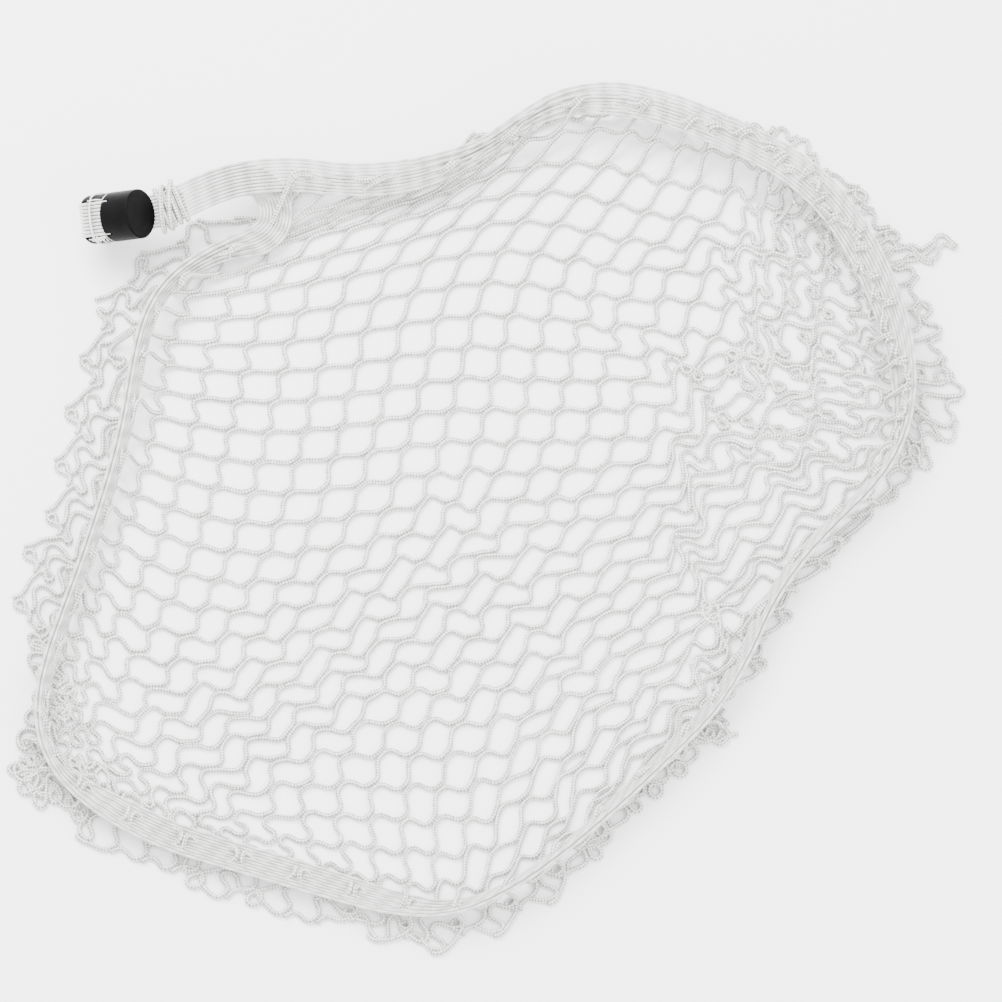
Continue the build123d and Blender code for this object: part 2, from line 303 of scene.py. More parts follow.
barrel_axis = np.array([math.cos(RISE) * math.cos(HEADING), math.cos(RISE) * math.sin(HEADING),
                        math.sin(RISE)])
barrel_up = np.array([-math.sin(RISE) * math.cos(HEADING), -math.sin(RISE) * math.sin(HEADING),
                      math.cos(RISE)])
barrel_front = barrel_up * math.cos(ROLL) + np.cross(barrel_axis, barrel_up) * math.sin(ROLL)
barrel_across = np.cross(barrel_front, barrel_axis)
print("barrel axis", barrel_axis.round(3), "front", barrel_front.round(3))


# %% Route of each strand
def on_barrel(along, height, across=0.0):
    """centre + along axis + height front + across across, all in millimetres."""
    along, height, across = (np.asarray(v, float)[..., None] for v in (along, height, across))
    return BARREL_AT + barrel_axis * along + barrel_front * height + barrel_across * across


def outward_side(middles, tilts):
    """The ribbon's outer direction at inner stations: level left of the heading, then tilted up."""
    heading = unit((middles[2:] - middles[:-2]) * [1, 1, 0])
    level = np.stack([-heading[:, 1], heading[:, 0], 0 * heading[:, 0]], -1)
    tilt = np.radians(tilts)[:, None]
    return level * np.cos(tilt) + np.array([0, 0, 1.0]) * np.sin(tilt)


# Two places on each run beside a corner of the nose keep the fold square and on the plastic.
over_nose = on_barrel([MOUTH_AT, -16, FOLD_AT, FOLD_AT, FOLD_AT, FOLD_AT, -14, FACE_AT],
                      [FRONT, FRONT, FRONT, 6, -12, -BACK, -BACK, -BACK])
neck_line = np.concatenate([over_nose[-1:], neck[:, :3], rim[:1, :3]])
neck_side = outward_side(neck_line, neck[:, 3])
down = unit(np.cross(neck_side, neck_line[2:] - neck_line[:-2]))
down *= np.where(down[:, 2:3] > 0, -1, 1)
neck_under = (neck[:, :3] + down * LAYER)[::-1]
around = np.concatenate([neck[-1:, :3], rim[:, :3], neck_under[:1]])
rim_side = outward_side(around, rim[:, 3])
middles = np.concatenate([over_nose, neck[:, :3], rim[:, :3], neck_under,
                          on_barrel([FACE_AT, HOME_AT], [-SECOND, -SECOND])])
sides = np.concatenate([[barrel_across] * len(over_nose), neck_side, rim_side,
                        -neck_side[::-1], [-barrel_across] * 2])
print("stations", len(middles))


def spline_points(name, control, per_run):
    """The points of a NURBS line of order 3 on these control points, read from a bare curve."""
    curve = bpy.data.curves.new(name, "CURVE")
    curve.dimensions = "3D"
    curve.resolution_u = per_run
    line = curve.splines.new("NURBS")
    line.points.add(len(control) - 1)
    line.points.foreach_set("co", np.c_[control * MM, np.ones(len(control))].ravel())
    line.order_u = 3
    line.use_endpoint_u = True
    holder = bpy.data.objects.new(name, curve)
    bpy.context.scene.collection.objects.link(holder)
    mesh = bpy.data.meshes.new_from_object(holder)
    found = np.zeros(len(mesh.vertices) * 3)
    mesh.vertices.foreach_get("co", found)
    bpy.data.objects.remove(holder)
    bpy.data.curves.remove(curve)
    bpy.data.meshes.remove(mesh)
    return found.reshape(-1, 3)


# Where the ribbon stands on edge its strands draw together, two deep.
bunched = np.zeros(len(middles))
on_rim = slice(len(over_nose) + len(neck), len(over_nose) + len(neck) + len(rim))
bunched[on_rim] = np.clip((rim[:, 3] - 22) / 30, 0, 1)
bunched[on_rim] *= np.clip(np.minimum(np.arange(len(rim)), np.arange(len(rim))[::-1]) / 3, 0, 1)
ahead = np.gradient(middles, axis=0)
thickness_way = unit(np.cross(sides, ahead))
strand_names = [f"elastic_{number + 1:02d}" for number in range(STRANDS)]
for number in range(STRANDS):
    name = f"rim_strand_{number + 1:02d}"
    offset = (number - (STRANDS - 1) / 2) * PITCH * (1 - 0.42 * bunched)
    deep = (1.8 if number % 2 else -1.8) * bunched
    route = middles + sides * offset[:, None] + thickness_way * deep[:, None]
    line = spline_points("route", route, 6)
    strand = cord_mesh(strand_names[number], [line], STRAND_D / 2 * MM, 8, elastic_finish)
    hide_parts(name)
    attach(strand, "root")

# %% [markdown]
# The net is 31 by 32 knots, with a 38 mm bar of 5 mm twine between neighbours. First each
# knot gets a place on the floor: the rows and columns run through a few known stations, and
# the third row or column from each edge is threaded on the strands, at these lengths round
# the rim. The rows outside it are the hem, which hangs out past the strands.

# %% Where the rows and columns run
BAR = 38.0
TWINE_R = 2.5
ROWS, COLUMNS = 32, 31
I0, I1, J0, J1 = 3, 28, 2, 29  # columns and rows that are threaded on the strands
# (column or row, millimetres round the rim from the fork)
on_top = [(3, 0), (6, 124), (8, 193), (10, 271), (13, 374), (16, 449), (18, 509), (22, 570),
          (25, 611), (28, 654)]
on_right = [(2, 654), (8, 753), (16, 872), (20, 996), (24, 1127), (29, 1252)]
on_bottom = [(3, 1986), (6, 1899), (10, 1780), (13, 1690), (16, 1606), (19, 1529), (22, 1438),
             (25, 1347), (28, 1252)]
on_left = [(2, 2690), (5, 2581), (8, 2509), (12, 2403), (16, 2285), (20, 2189), (24, 2071),
           (29, 1986)]
# Row: places on the floor, x and y, of the columns named first.
inner_columns = (6, 10, 13, 16, 19, 22, 25)
inner_rows = {
    5: [(-160, 235), (-10, 285), (95, 320), (190, 310), (250, 290), (285, 275), (322, 245)],
    8: [(-200, 125), (-70, 190), (35, 230), (140, 235), (225, 215), (268, 190), (318, 180)],
    12: [(-230, 25), (-80, 50), (30, 80), (130, 105), (210, 115), (252, 90), (318, 105)],
    16: [(-310, -75), (-165, -85), (-60, -55), (45, -20), (145, 15), (220, 20), (302, 35)],
    20: [(-385, -185), (-240, -200), (-130, -170), (-30, -135), (80, -105), (175, -80),
         (240, -75)],
    24: [(-415, -275), (-320, -315), (-215, -300), (-115, -285), (10, -245), (95, -210),
         (180, -190)],
}
# How far the hem stands out from the strands, by length round the rim.
hem_reach = [
    (0, 12), (150, 15), (193, 22), (240, 28), (300, 26), (374, 30), (430, 40), (470, 60),
    (509, 75), (570, 80), (611, 75), (654, 72), (700, 75), (753, 85), (800, 75), (850, 45),
    (872, 25), (900, 14), (1000, 12), (1130, 10), (1250, 14), (1400, 12), (1529, 30),
    (1606, 34), (1700, 30), (1780, 30), (1850, 26), (1899, 26), (1986, 16), (2071, 16),
    (2130, 36), (2189, 55), (2285, 62), (2403, 66), (2480, 64), (2540, 70), (2600, 60),
    (2650, 35), (2714, 14)]
# Lines where the slack net has drawn together: points, reach, share of the way, height.
gathers = [
    ([(-86, 337), (-22, 303), (21, 276), (42, 258), (64, 238), (85, 207), (106, 184), (134, 164),
      (170, 157), (249, 154)], 34, 0.85, 18),
    ([(23, 266), (117, 288), (145, 280), (268, 284)], 24, 0.8, 10),
    ([(323, 172), (305, 124), (283, 88), (269, 44), (268, 0)], 20, 0.4, 12),
    ([(183, 138), (183, 22), (183, -66), (198, -99), (205, -154), (189, -209), (193, -254)],
     34, 0.9, 14),
    ([(-140, 136), (-107, 147), (-94, 173), (-84, 194), (-57, 200), (-36, 210), (-30, 233),
      (-14, 250), (10, 244)], 24, 0.8, 10),
]
CROWDED = (420, 900)  # from and to, round the rim, where the net is heaped on the strands
CORNER_STEP = 13  # the corner knots of the hem fan out this far from each other
rim_steps = np.r_[0, np.cumsum(np.linalg.norm(np.diff(rim[:, :3], axis=0), axis=1))]
FACE_OFF = 5.6  # from the middle of the strands to a twine lying on them
RIM_LONG = rim_steps[-1]
print("rim", round(RIM_LONG), "mm; net twine", round((ROWS * (COLUMNS - 1) + COLUMNS
      * (ROWS - 1)) * BAR / 1000, 1), "m")


# %% Places on the rim and on the floor
def along_rim(length):
    """Middle of the ribbon, level outer direction, tilted side and face direction there."""
    length = np.asarray(length, float)
    here = np.stack([np.interp(length, rim_steps, rim[:, k]) for k in range(4)], -1)
    ahead = np.stack([np.interp(length + 6, rim_steps, rim[:, k])
                      - np.interp(length - 6, rim_steps, rim[:, k]) for k in range(2)], -1)
    heading = unit(np.concatenate([ahead, 0 * ahead[..., :1]], -1))
    level = np.stack([-heading[..., 1], heading[..., 0], 0 * heading[..., 0]], -1)
    tilt = np.radians(here[..., 3:4])
    side = level * np.cos(tilt) + np.array([0, 0, 1.0]) * np.sin(tilt)
    face = np.cross(side, heading)
    return here[..., :3], level, side, face * np.where(face[..., 2:3] < 0, -1, 1)


def at_table(table, where):
    """Straight-line reading of a table of (place, value)."""
    places, values = np.array(sorted(table), float).T
    return np.interp(where, places, values)


def smooth_through(places, values, where):
    """Cubic Hermite through the values, with each slope the mean of those either side."""
    slope = (values[1:] - values[:-1]) / np.diff(places).reshape((-1,) + (1,) * (values.ndim - 1))
    bend = np.concatenate([slope[:1], (slope[1:] + slope[:-1]) / 2, slope[-1:]])
    k = np.clip(np.searchsorted(places, where, "right") - 1, 0, len(places) - 2)
    run = (places[k + 1] - places[k]).reshape((-1,) + (1,) * (values.ndim - 1))
    t = ((where - places[k]).reshape(run.shape)) / run
    return ((2 * t**3 - 3 * t**2 + 1) * values[k] + (t**3 - 2 * t**2 + t) * run * bend[k]
            + (3 * t**2 - 2 * t**3) * values[k + 1] + (t**3 - t**2) * run * bend[k + 1])


column, row = np.meshgrid(np.arange(COLUMNS), np.arange(ROWS), indexing="ij")
threaded = (((column == I0) | (column == I1)) & (row >= J0) & (row <= J1)) | (
    ((row == J0) | (row == J1)) & (column >= I0) & (column <= I1))
inside = (column > I0) & (column < I1) & (row > J0) & (row < J1)
hem = (column < I0) | (column > I1) | (row < J0) | (row > J1)
top_at, bottom_at = at_table(on_top, column[:, 0]), at_table(on_bottom, column[:, 0])
left_at, right_at = at_table(on_left, row[0]), at_table(on_right, row[0])


def knots_on_floor():
    """Each row through its stations, then each column through the rows, as smooth lines."""
    knots = np.zeros((COLUMNS, ROWS, 3))
    across = column[I0:I1 + 1, 0].astype(float)
    known_rows = [J0, *inner_rows, J1]
    lines = [along_rim(top_at[I0:I1 + 1])[0][:, :2]]
    for j, places in inner_rows.items():
        ends = along_rim(left_at[j])[0][:2], along_rim(right_at[j])[0][:2]
        stations = np.array([ends[0], *places, ends[1]], float)
        lines.append(smooth_through(np.array([I0, *inner_columns, I1], float), stations, across))
    lines.append(along_rim(bottom_at[I0:I1 + 1])[0][:, :2])
    known = np.array(known_rows, float)
    downs = row[0, J0:J1 + 1].astype(float)
    knots[I0:I1 + 1, J0:J1 + 1, :2] = smooth_through(known, np.array(lines), downs).transpose(1, 0, 2)
    knots[..., 2] = TWINE_R + 1
    return knots


def knots_on_rim(knots):
    """Threaded knots lie on one face of the ribbon and then the other, a twine's half apart."""
    place = np.select([row == J0, row == J1, column == I0, column == I1],
                      [top_at[:, None], bottom_at[:, None], left_at[None], right_at[None]])
    middle, level, side, face = along_rim(place)
    crowded = (place > CROWDED[0]) & (place < CROWDED[1])
    over = np.where(crowded | ((column + row) % 2 == 1), 1.0, -1.0)[..., None]
    across = crowded * rng.uniform(-11, 11, place.shape)
    lies = middle + face * over * FACE_OFF + side * across[..., None]
    knots[threaded] = lies[threaded]
    return knots


def knots_in_hem(knots):
    """The hem goes straight out from the rim, by its share of the reach there."""
    i, j = np.clip(column, I0, I1), np.clip(row, J0, J1)
    by_row = np.where(row < J0, top_at[i], bottom_at[i])
    by_column = np.where(column < I0, left_at[j], right_at[j])
    out_rows = np.maximum(J0 - row, row - J1).clip(0)
    out_columns = np.maximum(I0 - column, column - I1).clip(0)
    place = np.where(out_rows > 0, by_row, by_column)
    corner = (out_rows > 0) & (out_columns > 0)
    place = place + corner * CORNER_STEP * out_columns * np.where((column > I1) == (row < J0), 1, -1)
    place = place % RIM_LONG
    share = np.maximum(out_rows / 2, out_columns / np.where(column < I0, 3, 2))
    crowded = (place > CROWDED[0]) & (place < CROWDED[1])
    share = np.where(crowded, share**2.4, share)
    middle, level, side, face = along_rim(place)
    reach = at_table(hem_reach, place)
    lies = middle + level * (reach * share)[..., None]
    lies[..., 2] = np.maximum(TWINE_R + 1, middle[..., 2] * (1 - 0.35 * share))
    lies[..., 2] += (crowded & (share < 0.4)) * 2 * FACE_OFF
    lies += rng.normal(0, 1, lies.shape) * [4, 4, 0] + np.abs(rng.normal(0, 5, lies.shape)) * [0, 0, 1]
    knots[hem] = lies[hem]
    return knots


knots = knots_in_hem(knots_on_rim(knots_on_floor()))
knots[inside] += rng.normal(0, 1.2, knots[inside].shape) * [1, 1, 0]
print("knots", knots.shape[:2], "threaded", int(threaded.sum()), "hem", int(hem.sum()))

# %% [markdown]
# A slack net isn't stretched evenly. Three passes over the knots give it its folds before
# any twine is bent: no two neighbours end up further apart than slack twine allows, the
# knots near a gather are drawn to its line, and where the knots are crowded one way, every
# second line of them steps half a mesh the other way, so the twine lies in pleats.


# %% Slack, gathers and pleats
def keep_in_reach(knots, longest, rounds, hold):
    """Neighbours further apart than longest are drawn together, and all are held to their places."""
    start, free = knots.copy(), np.where(threaded, 0.0, 1.0)
    for _ in range(rounds):
        for axis in (0, 1):
            for odd in (0, 1):
                k, f = knots.swapaxes(0, axis)[odd:], free.swapaxes(0, axis)[odd:]
                pairs = len(k) // 2
                a, b = k[0:2 * pairs:2], k[1:2 * pairs:2]
                fa, fb = f[0:2 * pairs:2], f[1:2 * pairs:2]
                gap = b - a
                long = np.linalg.norm(gap, axis=-1) + 1e-9
                move = (np.maximum(long - longest, 0) + 0.3 * np.minimum(long - 7, 0)) / long
                share = (move / np.maximum(fa + fb, 1))[..., None]
                a += gap * share * fa[..., None]
                b -= gap * share * fb[..., None]
        knots[..., :2] += (start - knots)[..., :2] * (hold * free)[..., None]
    return knots


def draw_together(knots):
    """Knots go a share exp(-(distance / reach)^2) of the way to the nearest point of a line."""
    near = np.zeros(knots.shape[:2])
    for points, reach, share, height in gathers:
        line = np.array(points, float)
        run = np.diff(line, axis=0)
        away = knots[..., None, :2] - line[:-1]
        t = np.clip((away * run).sum(-1) / (run**2).sum(-1), 0, 1)
        foot = line[:-1] + run * t[..., None]
        far = np.linalg.norm(knots[..., None, :2] - foot, axis=-1)
        best = far.argmin(-1)[..., None]
        foot = np.take_along_axis(foot, best[..., None], -2)[..., 0, :]
        pull = inside * np.exp(-(np.take_along_axis(far, best, -1)[..., 0] / reach)**2)
        knots[..., :2] += (foot - knots[..., :2]) * (pull * share)[..., None]
        knots[..., 2] += height * pull
        near = np.maximum(near, pull)
    return near


def pleat(knots):
    """Lines 33 mm apart by twine but closer on the floor step sqrt(33^2 - gap^2) / 2 aside."""
    along_row, along_column = (np.gradient(knots * [1, 1, 0], axis=axis) for axis in (0, 1))
    for field in (along_row, along_column):
        for _ in range(3):
            field[1:-1, 1:-1] = (2 * field[1:-1, 1:-1] + field[2:, 1:-1] + field[:-2, 1:-1]
                                 + field[1:-1, 2:] + field[1:-1, :-2]) / 6
    gap_row, gap_column = (np.linalg.norm(f, axis=-1) for f in (along_row, along_column))
    step_row = np.sqrt(np.maximum(33**2 - gap_row**2, 0)) / 2 * np.clip((29 - gap_row) / 10, 0, 1)
    step_column = (np.sqrt(np.maximum(33**2 - gap_column**2, 0)) / 2
                   * np.clip((29 - gap_column) / 10, 0, 1))
    crowd = np.clip((step_row + step_column - 22) / 14, 0, 1)
    first = step_row >= step_column
    step_column = step_column * (1 - 0.6 * crowd * first)
    step_row = step_row * (1 - 0.6 * crowd * ~first)
    loose = inside * rng.uniform(0.75, 1.15, inside.shape)
    odd_column, odd_row = np.where(column % 2, 1, -1), np.where(row % 2, 1, -1)
    knots += unit(along_column) * (step_row * odd_column * loose)[..., None]
    knots += unit(along_row) * (step_column * odd_row * loose)[..., None]
    knots[..., 2] += inside * 0.3 * (step_row * (odd_column > 0) + step_column * (odd_row > 0))
    return unit(along_row), unit(along_column)


knots = keep_in_reach(knots, 33.0, 300, 0.01)
gathered = draw_together(knots)
knots = keep_in_reach(knots, 36.0, 60, 0.0)
row_way, column_way = pleat(knots)
gaps = np.linalg.norm(np.diff(knots, axis=0), axis=-1)
print("gaps along rows, mm", np.percentile(gaps, [1, 50, 99]).round(1))

# %% [markdown]
# In a knotless net the two twines of a joint run side by side for a few millimetres, so the
# joint is a short stick with two bars leaving each end. The sticks lie along the rows and
# along the columns by turns, and that makes every bar leave in a wave. Each bar is a chain
# of particles, and a relaxation moves all of them at once: the chains keep their length and
# resist bending, the floor and the strands hold them up, and twines lie over one another.

# %% Particles of the net
STICK = 8.0
LINKS = 4  # runs in each free bar
LINK = (BAR - STICK) / LINKS
knot_count = COLUMNS * ROWS
first_end = np.arange(knot_count).reshape(COLUMNS, ROWS)
second_end = first_end + knot_count


def stick_directions():
    """Up the column and along the row by turns, like a chessboard, each a little uneven."""
    odd = ((column + row) % 2).astype(float)[..., None]
    up, along = 0.25 * row_way - 0.8 * column_way, 0.8 * row_way - 0.25 * column_way
    way = unit(odd * up + (1 - odd) * along)
    turn = rng.normal(0, 0.12, column.shape)[..., None]
    left = np.stack([-way[..., 1], way[..., 0], 0 * way[..., 0]], -1)
    return way * np.cos(turn) + left * np.sin(turn)


def chain_numbers(starts, ends, next_free):
    """Particle numbers of each bar: its start, LINKS - 1 free ones of its own, its end."""
    free = next_free + np.arange(starts.size * (LINKS - 1)).reshape(*starts.shape, LINKS - 1)
    return np.concatenate([starts[..., None], free, ends[..., None]], -1)


stick_way = stick_directions()
row_bars = chain_numbers(second_end[:-1], first_end[1:], 2 * knot_count)
column_bars = chain_numbers(second_end[:, 1:], first_end[:, :-1], row_bars.max() + 1)
particles = np.zeros((column_bars.max() + 1, 3))
particles[first_end] = knots - stick_way * STICK / 2
particles[second_end] = knots + stick_way * STICK / 2
for bars, leaves, arrives in ((row_bars, stick_way[:-1], stick_way[1:]),
                              (column_bars, stick_way[:, 1:], stick_way[:, :-1])):
    t = (np.arange(1, LINKS) / LINKS)[:, None]
    start, end = particles[bars[..., :1]], particles[bars[..., -1:]]
    slope = BAR - STICK
    particles[bars[..., 1:-1]] = (
        (2 * t**3 - 3 * t**2 + 1) * start + (3 * t**2 - 2 * t**3) * end
        + slope * ((t**3 - 2 * t**2 + t) * leaves[..., None, :] + (t**3 - t**2) * arrives[..., None, :]))
particles[2 * knot_count:, 2] += rng.uniform(0, 1.5, len(particles) - 2 * knot_count)
held = np.zeros(len(particles), bool)
held[first_end[threaded]] = held[second_end[threaded]] = True
print("particles", len(particles), "bars", row_bars[..., 0].size + column_bars[..., 0].size)

# %% Rules that the particles keep
weight = np.where(held, 0.0, 1.0)
chains = [bars.reshape(-1, LINKS + 1) for bars in (row_bars, column_bars)]
stick_pairs = (first_end.ravel(), second_end.ravel())
link_pairs = []
for chain in chains:  # links that share no particle are moved together
    for odd in (0, 1):
        link_pairs.append((chain[:, odd:LINKS:2].ravel(), chain[:, odd + 1:LINKS + 1:2].ravel()))
both_chains = np.concatenate(chains)
bend_pairs = [(both_chains[:, k], both_chains[:, k + 2]) for k in range(LINKS - 1)]
leave_pairs = [(first_end[:-1].ravel(), row_bars[..., 1].ravel()),
               (second_end[1:].ravel(), row_bars[..., -2].ravel()),
               (first_end[:, 1:].ravel(), column_bars[..., 1].ravel()),
               (second_end[:, :-1].ravel(), column_bars[..., -2].ravel())]
# The knots that a particle's bar ends at: twines that share one don't push each other.
near_knots = np.full((len(particles), 2), -1)
near_knots[:knot_count] = near_knots[knot_count:2 * knot_count] = np.arange(knot_count)[:, None]
near_knots[row_bars[..., 1:-1]] = np.stack([first_end[:-1], first_end[1:]], -1)[:, :, None]
near_knots[column_bars[..., 1:-1]] = np.stack([first_end[:, 1:], first_end[:, :-1]], -1)[:, :, None]


def keep_distance(pairs, rest, strength, when):
    """Each pair moves to rest apart: always, or only when closer than it."""
    a, b = pairs
    gap = particles[b] - particles[a]
    long = np.linalg.norm(gap, axis=1) + 1e-9
    off = np.minimum(long - rest, 0) if when == "closer" else long - rest
    move = (strength * off / long / np.maximum(weight[a] + weight[b], 1e-9))[:, None] * gap
    particles[a] += move * weight[a][:, None]
    particles[b] -= move * weight[b][:, None]


CONTACT = 2 * TWINE_R * 0.97  # soft twines press into each other a little


def part_twines():
    """Twines nearer than a diameter are parted, half along the gap and half upwards."""
    cell = 2 * TWINE_R
    place = np.floor(particles[:, :2] / cell).astype(int)
    place -= place.min(0)
    wide = place[:, 1].max() + 3
    code = (place[:, 0] + 1) * wide + place[:, 1] + 1
    order = np.argsort(code, kind="stable")
    ranked = code[order]
    shift = np.zeros_like(particles)
    for step_x, step_y in ((0, 0), (0, 1), (1, -1), (1, 0), (1, 1)):
        low = np.searchsorted(ranked, code + step_x * wide + step_y, "left")
        high = np.searchsorted(ranked, code + step_x * wide + step_y, "right")
        for n in range(int((high - low).max())):
            a = np.nonzero(low + n < high)[0]
            b = order[low[a] + n]
            kin = (near_knots[a][:, :, None] == near_knots[b][:, None, :]).any((1, 2))
            other = ~kin & ((b > a) | (step_x + abs(step_y) > 0))
            a, b = a[other], b[other]
            gap = particles[b] - particles[a]
            far = np.linalg.norm(gap, axis=1)
            close = far < CONTACT
            a, b, gap, far = a[close], b[close], gap[close], far[close] + 1e-6
            push = gap / far[:, None]
            push[:, 2] += np.where(gap[:, 2] >= 0, 1.0, -1.0)
            push = unit(push) * ((CONTACT - far) / 2)[:, None]
            for k in range(3):
                shift[:, k] += np.bincount(b, push[:, k], len(shift))
                shift[:, k] -= np.bincount(a, push[:, k], len(shift))
    particles[:] += np.clip(shift, -1.6, 1.6) * weight[:, None]


rim_marks = along_rim(np.linspace(0, RIM_LONG, 700))


def clear_of_ribbon():
    """Particles inside the ribbon of strands go out through the face that they are nearer."""
    middle, level, side, face = rim_marks
    far = ((particles[:, None, :2] - middle[None, :, :2])**2).sum(-1)
    mark = far.argmin(1)
    away = particles - middle[mark]
    height, across = (away * face[mark]).sum(-1), (away * side[mark]).sum(-1)
    clear = FACE_OFF - 0.2
    within = (far.min(1) < 24**2) & (abs(across) < 19) & (abs(height) < clear) & (weight > 0)
    goes = (np.where(height >= 0, clear, -clear) - height)[:, None] * face[mark]
    particles[within] += 0.6 * goes[within]


# %% Let the net settle
SETTLE_STEPS = 220
homes = particles[:2 * knot_count].copy()
hold = np.tile(gathered.ravel(), 2)
speed = np.zeros_like(particles)
for step in range(SETTLE_STEPS):
    before = particles.copy()
    particles += speed * [0.5, 0.5, 0.8] * weight[:, None]
    particles[:, 2] -= weight
    grip = (0.12 * (1 - step / SETTLE_STEPS)**2 + 0.02 + 0.3 * hold) * weight[:2 * knot_count]
    particles[:2 * knot_count, :2] += (homes - particles[:2 * knot_count])[:, :2] * grip[:, None]
    for _ in range(12):
        for pairs in leave_pairs:
            keep_distance(pairs, 0.975 * (STICK + LINK), 0.35, "closer")
        for pairs in bend_pairs:
            keep_distance(pairs, 0.95 * 2 * LINK, 0.3, "closer")
        keep_distance(stick_pairs, STICK, 1.0, "always")
        for pairs in link_pairs:
            keep_distance(pairs, LINK, 1.0, "always")
    if step % 4 == 0 and step > 6:
        part_twines()
    if step % 4 == 1:
        clear_of_ribbon()
    particles[:, 2] = np.maximum(particles[:, 2], TWINE_R)
    speed = np.clip(particles - before, -4, 4)
    speed[particles[:, 2] < TWINE_R + 0.6, :2] *= 0.5
print("net settled, height in mm", particles[:, 2].max().round(1))

# %% [markdown]
# Each twine climbs the net like stairs: along a row bar, round a joint, up a column bar. At
# a joint it keeps to its own side of the stick, beside the other twine. The lines are
# smoothed as cubic B-splines and carried as tubes. The net is three pieces by rows, so that
# none has too many faces.

# %% Lines of twine
SIDE_STEP = 1.9  # from a stick's middle to each of its two twines
LIFT_STEP = 1.0  # one twine of a joint lies this much higher than the other
POINT_GAP = 2.4  # between the points of a twine's line
LEAST_BEND_R = 3.6  # tighter bends are eased, so that a tube doesn't fold into itself
EASE_ROUNDS = 14


def staircase(i, j, move, rows, taken):
    """Particles and sides of the twine that leaves knot i, j by a row or a column bar."""
    numbers, side = [], []
    while True:
        along = move == "row"
        shared = along and j == rows[0] > 0  # the row where two bands meet is the upper one's
        last = shared or (i + 1 >= COLUMNS if along else j - 1 < rows[0])
        turn = -1 if along else 1
        numbers += [first_end[i, j]] + [second_end[i, j]] * (not shared)
        side += [turn] * (2 - shared)
        if last:
            return numbers, side
        taken.add((move, i, j))
        bar = row_bars[i, j, 1:-1] if along else column_bars[i, j - 1, 1:-1]
        numbers += list(bar)
        side += [0] * len(bar)
        i, j, move = (i + 1, j, "column") if along else (i, j - 1, "row")


def twines_of(rows):
    """Every staircase between two rows, the lower row's bars included."""
    taken, found = set(), []
    starts = [(i, rows[1], "row") for i in range(COLUMNS - 1)]
    starts += [(0, j, "column") for j in range(rows[0] + 1, rows[1] + 1)]
    for i, j, move in starts:
        numbers, side = staircase(i, j, move, rows, taken)
        found.append((np.array(numbers), np.array(side)))
    print("bars in band", len(taken))
    return found, len(taken)


def evenly(line, gap):
    """The same line with its points a gap apart, measured along it."""
    place = np.r_[0, np.cumsum(np.linalg.norm(np.diff(line, axis=0), axis=1))]
    where = np.linspace(0, place[-1], max(int(place[-1] / gap), 3))
    return np.stack([np.interp(where, place, line[:, axis]) for axis in range(3)], -1)


def eased(line):
    """Where run over turn is under the least radius, points go half way to their neighbours' middle."""
    for _ in range(EASE_ROUNDS):
        line = evenly(line, POINT_GAP)
        ahead = unit(np.diff(line, axis=0))
        bend = np.arccos(np.clip((ahead[1:] * ahead[:-1]).sum(1), -1, 1))
        sharp = bend > POINT_GAP / LEAST_BEND_R
        near = np.convolve(sharp, [1, 1, 1], "same") > 0
        middle = (line[2:] + line[:-2]) / 2
        line[1:-1] += near[:, None] * (middle - line[1:-1]) / 2
    return line


def smooth_line(numbers, side, per_run):
    """Cubic B-spline with the particles as its control points, each stick's moved aside."""
    points = particles[numbers]
    beside = np.nonzero(side)[0]
    knot = numbers[beside] % knot_count
    way = particles[knot + knot_count] - particles[knot]
    left = np.stack([-way[:, 1], way[:, 0], 0 * way[:, 0]], -1)
    closed_up = np.linalg.norm(left, axis=1) < 0.5
    left[closed_up] = [1, 0, 0]
    points[beside] += unit(left) * (side[beside] * SIDE_STEP)[:, None]
    points[beside, 2] += LIFT_STEP * (side[beside] > 0)
    points = np.concatenate([2 * points[:1] - points[1:2], points, 2 * points[-1:] - points[-2:-1]])
    t = (np.arange(per_run) / per_run)[None, :, None]
    a, b, c, d = points[:-3, None], points[1:-2, None], points[2:-1, None], points[3:, None]
    runs = ((1 - t)**3 * a + (3 * t**3 - 6 * t**2 + 4) * b
            + (3 * t + 3 * t**2 - 3 * t**3 + 1) * c + t**3 * d) / 6
    end = (points[-3:-2] + 4 * points[-2:-1] + points[-1:]) / 6
    return eased(np.concatenate([runs.reshape(-1, 3), end]))


# %% The three bands of net
bands = {"net_upper": (0, 10), "net_middle": (10, 21), "net_lower": (21, ROWS - 1)}
for name, rows in bands.items():
    twines, bars = twines_of(rows)
    paths = [smooth_line(numbers, side, 3) * MM for numbers, side in twines]
    drawn = sum(np.linalg.norm(np.diff(path, axis=0), axis=1).sum() for path in paths)
    print(name, "twine drawn over twine made", round(drawn / (bars * BAR * MM), 3))
    piece = cord_mesh(name, paths, TWINE_R * MM, 6, twine_finish)
    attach(piece, "root")
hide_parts("net")

# %% [markdown]
# Thin white thread holds the strands on the barrel: one turn lies in the groove at the seam,
# tied off with short tails, and a few turns bind the folded strands to the nose. Each is a
# tube along a closed or winding path, worked out in the barrel's own directions: along its
# axis, out to the front, and across.


# %% Thread round the barrel
def winding(places, turns, step, start, bend):
    """A spiral round a section: its corner places, (across, height), repeated, step mm a turn."""
    corners = np.tile(np.array(places, float), (turns, 1))
    along = start + step * np.arange(len(corners)) / len(places)
    along = along + bend * rng.normal(0, 1, len(along))
    return on_barrel(along, corners[:, 1], corners[:, 0])


